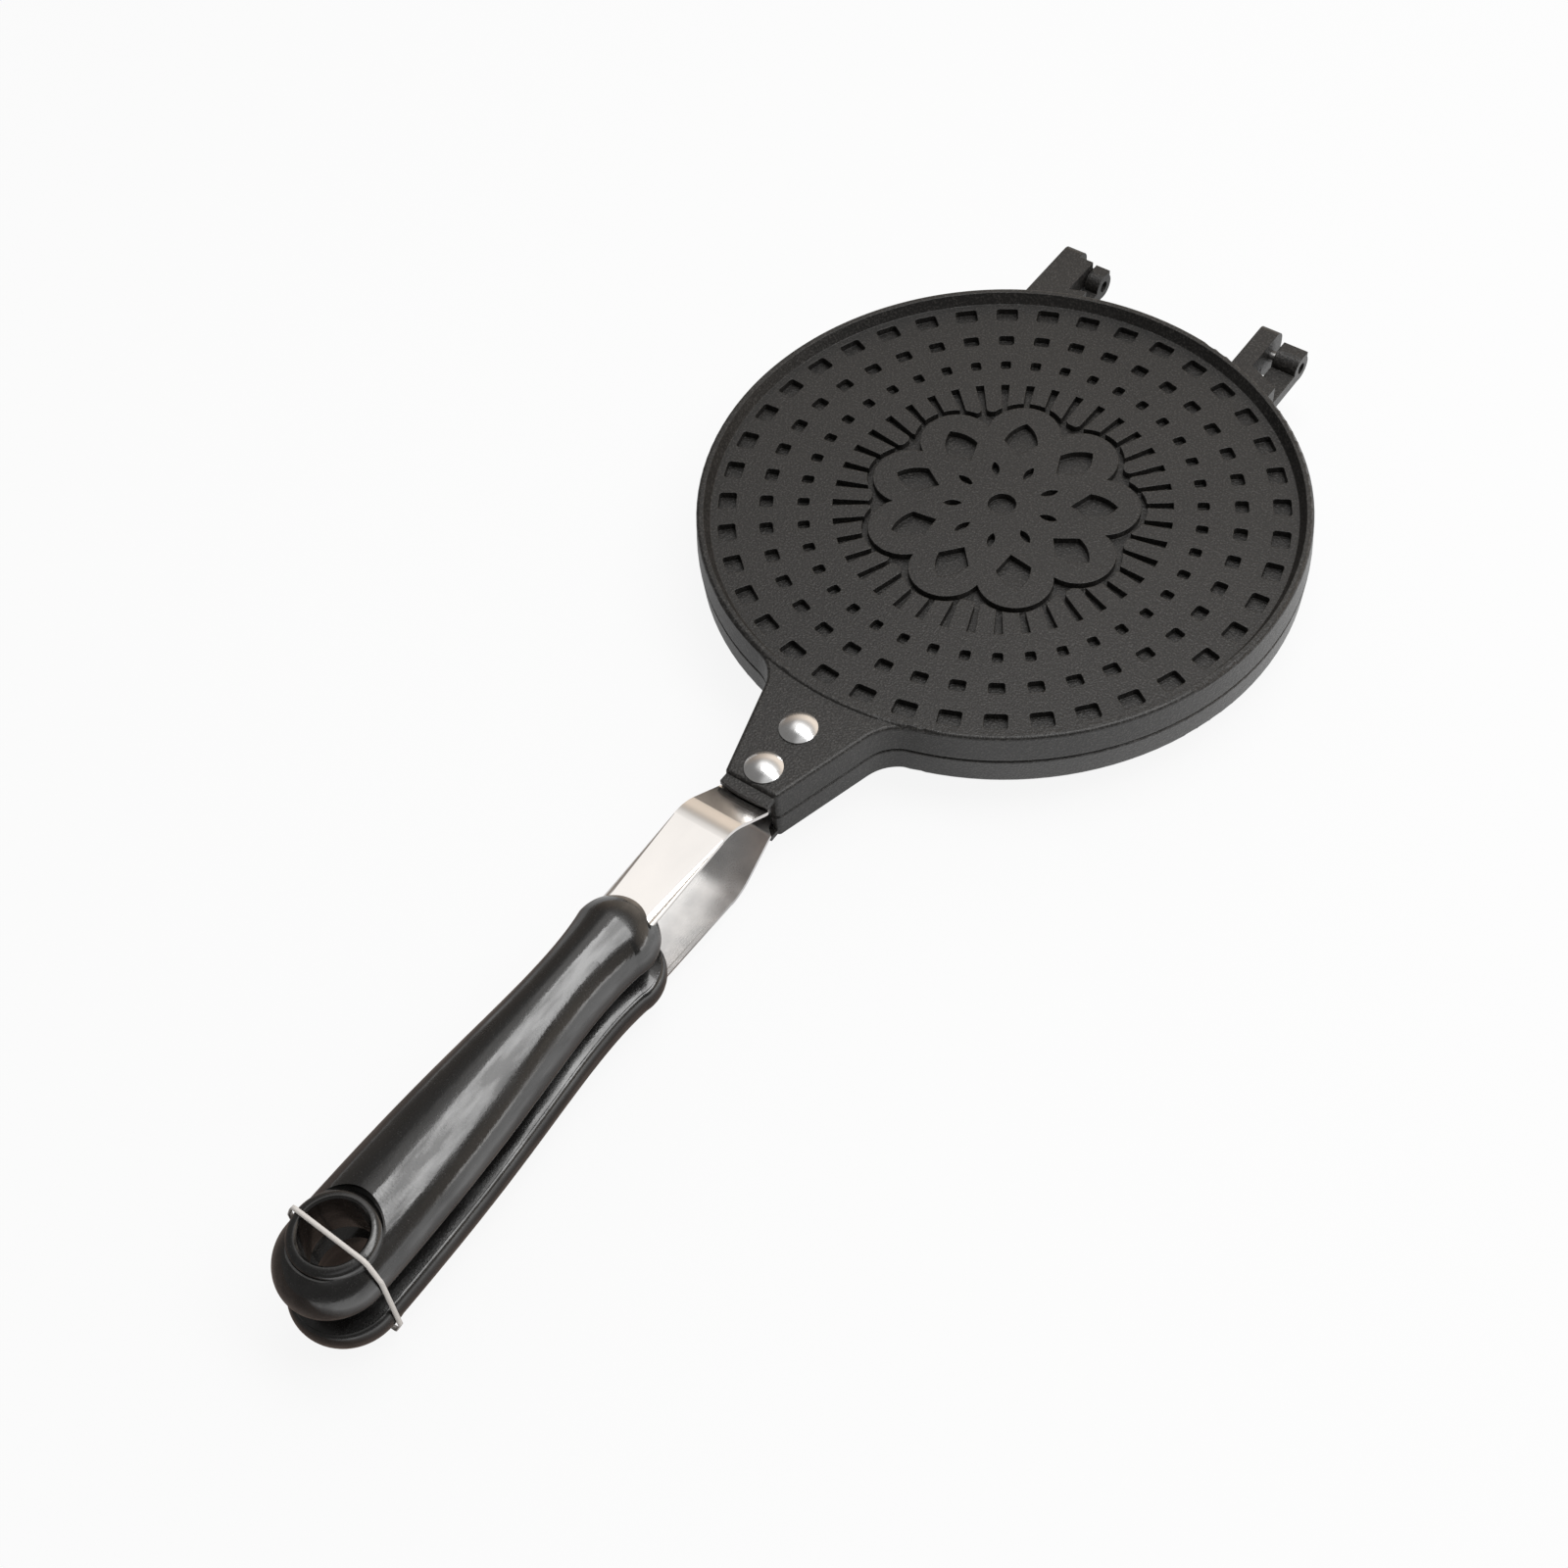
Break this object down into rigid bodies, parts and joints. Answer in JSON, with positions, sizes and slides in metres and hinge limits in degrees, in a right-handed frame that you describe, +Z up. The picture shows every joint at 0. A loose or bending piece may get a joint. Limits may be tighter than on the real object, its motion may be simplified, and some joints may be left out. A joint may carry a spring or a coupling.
{
  "type": "egg roll waffle maker",
  "caption": "Stovetop wafer iron: two hinged round cast plates with a flower and ring pattern, each on a steel strap with a long domed grip.",
  "frame": {"origin": "middle of the round plates, on the plane of the lower plate's outer rim, where the iron rests on a burner", "axes": "+Z up through the closed plates, +Y towards the hinge, -Y along the handle, +X to the right seen from the handle end with the hinge away"},
  "size_m": [0.1999, 0.4589, 0.043],
  "materials": {
    "plate": "dark fine-grained non-stick coating over cast aluminium",
    "strap": "bright rolled stainless steel",
    "grip": "glossy black moulded phenolic",
    "rivet": "polished rivet head",
    "pin": "drawn steel wire",
    "tie": "cream paper-backed wire tie"
  },
  "bodies": {
    "lower": {"lower_plate": "plate", "lower_strap": "strap", "lower_grip": "grip", "lower_rivet_front": "rivet", "lower_rivet_rear": "rivet", "tie": "tie"},
    "upper": {"upper_plate": "plate", "upper_strap": "strap", "upper_grip": "grip", "upper_rivet_front": "rivet", "upper_rivet_rear": "rivet", "hinge_pin_left": "pin", "hinge_pin_right": "pin"}
  },
  "joints": [
    {"name": "plate_hinge", "type": "hinge", "parent": "lower", "child": "upper", "pos_m": [0, 0.113, 0.0105], "axis": [-1, 0, 0], "range_deg": [0, 180], "deforming": ["tie"]}
  ]
}
